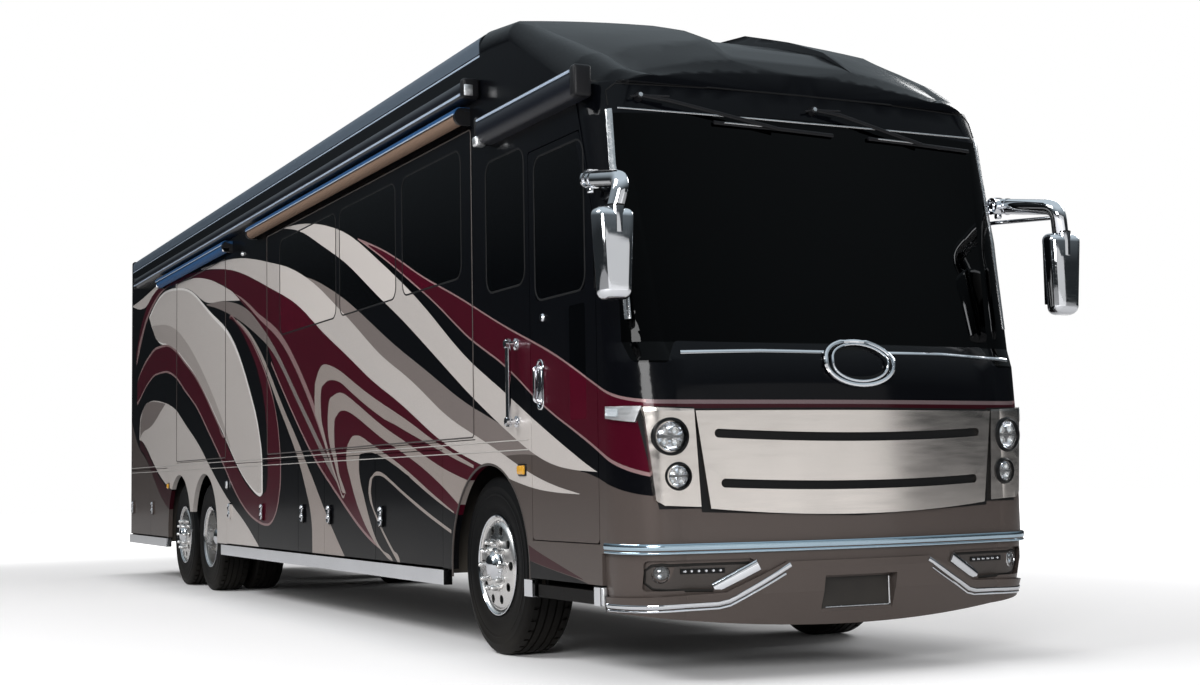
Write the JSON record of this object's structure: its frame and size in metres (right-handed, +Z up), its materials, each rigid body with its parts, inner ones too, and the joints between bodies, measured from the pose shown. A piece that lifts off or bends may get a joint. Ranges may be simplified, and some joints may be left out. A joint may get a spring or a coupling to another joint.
{
  "type": "motorhome",
  "caption": "Tag-axle diesel motorhome with slide-out rooms, luggage bays, an entry door, steered front wheels and twin drive wheels.",
  "frame": {"origin": "on the ground at mid-length on the centreline", "axes": "+X forward, +Y to the driver's side, +Z up"},
  "size_m": [13.7804, 3.065, 4.0298],
  "materials": {
    "coach_paint": "gloss clear coat with maroon, silver and bronze sweeps",
    "tinted_glass": "dark tint",
    "bright_metal": "polished",
    "clear_lens": "clear lens over reflector",
    "red_lens": "ribbed lens",
    "polished_aluminium": "polished",
    "tyre_rubber": "matt",
    "chassis_black": "satin black",
    "floor_board": "matt",
    "dash_plastic": "grained",
    "seat_leather": "grained",
    "awning_metal": "dark coated",
    "roof_plastic": "matt"
  },
  "bodies": {
    "coach": {"awnings": "awning_metal", "axles": "chassis_black", "bays": "floor_board", "cab_seats": "seat_leather", "chassis_rails": "chassis_black", "crossmembers": "chassis_black", "dashboard": "dash_plastic", "deck": "floor_board", "engine": "chassis_black", "front_bumper": "coach_paint", "front_cap": "coach_paint", "grille": "bright_metal", "headlamps": "clear_lens", "hitch": "chassis_black", "mirrors": "bright_metal", "rear_bumper": "chassis_black", "rear_cap": "coach_paint", "rocker_rails": "bright_metal", "roof": "coach_paint", "roof_units": "roof_plastic", "side_glass": "tinted_glass", "side_wall_left": "coach_paint", "side_wall_right": "coach_paint", "tail_lamps": "red_lens", "wheel_wells": "floor_board", "windshield": "tinted_glass"},
    "bay_door_right_1": {"bay_door_right_1": "coach_paint"},
    "bay_door_right_2": {"bay_door_right_2": "coach_paint"},
    "bay_door_right_3": {"bay_door_right_3": "coach_paint"},
    "bay_door_right_4": {"bay_door_right_4": "coach_paint"},
    "bay_door_right_5": {"bay_door_right_5": "coach_paint"},
    "bay_door_right_6": {"bay_door_right_6": "coach_paint"},
    "bay_door_right_7": {"bay_door_right_7": "coach_paint"},
    "bay_door_left_1": {"bay_door_left_1": "coach_paint"},
    "bay_door_left_2": {"bay_door_left_2": "coach_paint"},
    "bay_door_left_3": {"bay_door_left_3": "coach_paint"},
    "bay_door_left_4": {"bay_door_left_4": "coach_paint"},
    "bay_door_left_5": {"bay_door_left_5": "coach_paint"},
    "entry_door": {"entry_door": "coach_paint", "entry_door_glass": "tinted_glass"},
    "engine_lid": {"engine_lid": "coach_paint"},
    "slide_front_right": {"slide_front_right": "coach_paint", "slide_glass_front_right": "tinted_glass"},
    "slide_rear_right": {"slide_rear_right": "coach_paint"},
    "slide_left": {"slide_left": "coach_paint", "slide_glass_left": "tinted_glass"},
    "knuckle_right": {"knuckle_right": "chassis_black"},
    "wheel_front_right": {"tyre_front_right": "tyre_rubber", "rim_front_right": "polished_aluminium"},
    "wheel_drive_right": {"tyre_drive_right": "tyre_rubber", "rim_drive_right": "polished_aluminium"},
    "wheel_tag_right": {"tyre_tag_right": "tyre_rubber", "rim_tag_right": "polished_aluminium"},
    "knuckle_left": {"knuckle_left": "chassis_black"},
    "wheel_front_left": {"tyre_front_left": "tyre_rubber", "rim_front_left": "polished_aluminium"},
    "wheel_drive_left": {"tyre_drive_left": "tyre_rubber", "rim_drive_left": "polished_aluminium"},
    "wheel_tag_left": {"tyre_tag_left": "tyre_rubber", "rim_tag_left": "polished_aluminium"}
  },
  "joints": [
    {"name": "bay_door_right_1_hinge", "type": "hinge", "parent": "coach", "child": "bay_door_right_1", "pos_m": [4.011, -1.295, 0.87], "axis": [0, 0, 1], "range_deg": [0, 90]},
    {"name": "bay_door_right_2_hinge", "type": "hinge", "parent": "coach", "child": "bay_door_right_2", "pos_m": [2.631, -1.295, 0.87], "axis": [0, 0, 1], "range_deg": [0, 90]},
    {"name": "bay_door_right_3_hinge", "type": "hinge", "parent": "coach", "child": "bay_door_right_3", "pos_m": [1.361, -1.295, 0.87], "axis": [0, 0, 1], "range_deg": [0, 90]},
    {"name": "bay_door_right_4_hinge", "type": "hinge", "parent": "coach", "child": "bay_door_right_4", "pos_m": [0.611, -1.295, 0.87], "axis": [0, 0, 1], "range_deg": [0, 90]},
    {"name": "bay_door_right_5_hinge", "type": "hinge", "parent": "coach", "child": "bay_door_right_5", "pos_m": [-0.689, -1.295, 0.87], "axis": [0, 0, 1], "range_deg": [0, 90]},
    {"name": "bay_door_right_6_hinge", "type": "hinge", "parent": "coach", "child": "bay_door_right_6", "pos_m": [-4.659, -1.295, 0.87], "axis": [0, 0, 1], "range_deg": [0, 90]},
    {"name": "bay_door_right_7_hinge", "type": "hinge", "parent": "coach", "child": "bay_door_right_7", "pos_m": [-5.589, -1.295, 0.87], "axis": [0, 0, 1], "range_deg": [0, 90]},
    {"name": "bay_door_left_1_hinge", "type": "hinge", "parent": "coach", "child": "bay_door_left_1", "pos_m": [4.011, 1.295, 0.87], "axis": [0, 0, -1], "range_deg": [0, 90]},
    {"name": "bay_door_left_2_hinge", "type": "hinge", "parent": "coach", "child": "bay_door_left_2", "pos_m": [2.631, 1.295, 0.87], "axis": [0, 0, -1], "range_deg": [0, 90]},
    {"name": "bay_door_left_3_hinge", "type": "hinge", "parent": "coach", "child": "bay_door_left_3", "pos_m": [1.361, 1.295, 0.87], "axis": [0, 0, -1], "range_deg": [0, 90]},
    {"name": "bay_door_left_4_hinge", "type": "hinge", "parent": "coach", "child": "bay_door_left_4", "pos_m": [-0.689, 1.295, 0.87], "axis": [0, 0, -1], "range_deg": [0, 90]},
    {"name": "bay_door_left_5_hinge", "type": "hinge", "parent": "coach", "child": "bay_door_left_5", "pos_m": [-4.659, 1.295, 0.87], "axis": [0, 0, -1], "range_deg": [0, 90]},
    {"name": "entry_door_hinge", "type": "hinge", "parent": "coach", "child": "entry_door", "pos_m": [6.338, -1.295, 1.81], "axis": [0, 0, 1], "range_deg": [0, 85]},
    {"name": "engine_lid_hinge", "type": "hinge", "parent": "coach", "child": "engine_lid", "pos_m": [-6.856, 0, 1.694], "axis": [0, 1, 0], "range_deg": [0, 75]},
    {"name": "slide_front_right_travel", "type": "slide", "parent": "coach", "child": "slide_front_right", "axis": [0, -1, 0], "range_m": [0, 0.65]},
    {"name": "slide_rear_right_travel", "type": "slide", "parent": "coach", "child": "slide_rear_right", "axis": [0, -1, 0], "range_m": [0, 0.65]},
    {"name": "slide_left_travel", "type": "slide", "parent": "coach", "child": "slide_left", "axis": [0, 1, 0], "range_m": [0, 0.65]},
    {"name": "steer_right", "type": "hinge", "parent": "coach", "child": "knuckle_right", "pos_m": [4.764, -0.99, 0.535], "axis": [0, 0, 1], "range_deg": [-40, 40]},
    {"name": "roll_front_right", "type": "hinge", "parent": "knuckle_right", "child": "wheel_front_right", "pos_m": [4.764, -1.085, 0.535], "axis": [0, 1, 0], "continuous": true},
    {"name": "roll_drive_right", "type": "hinge", "parent": "coach", "child": "wheel_drive_right", "pos_m": [-2.836, -1.085, 0.535], "axis": [0, 1, 0], "continuous": true},
    {"name": "roll_tag_right", "type": "hinge", "parent": "coach", "child": "wheel_tag_right", "pos_m": [-4.026, -1.085, 0.535], "axis": [0, 1, 0], "continuous": true},
    {"name": "steer_left", "type": "hinge", "parent": "coach", "child": "knuckle_left", "pos_m": [4.764, 0.99, 0.535], "axis": [0, 0, 1], "range_deg": [-40, 40]},
    {"name": "roll_front_left", "type": "hinge", "parent": "knuckle_left", "child": "wheel_front_left", "pos_m": [4.764, 1.085, 0.535], "axis": [0, 1, 0], "continuous": true},
    {"name": "roll_drive_left", "type": "hinge", "parent": "coach", "child": "wheel_drive_left", "pos_m": [-2.836, 1.085, 0.535], "axis": [0, 1, 0], "continuous": true},
    {"name": "roll_tag_left", "type": "hinge", "parent": "coach", "child": "wheel_tag_left", "pos_m": [-4.026, 1.085, 0.535], "axis": [0, 1, 0], "continuous": true}
  ],
  "couplings": [
    {"joint": "steer_left", "follows": "steer_right", "ratio": 1}
  ]
}
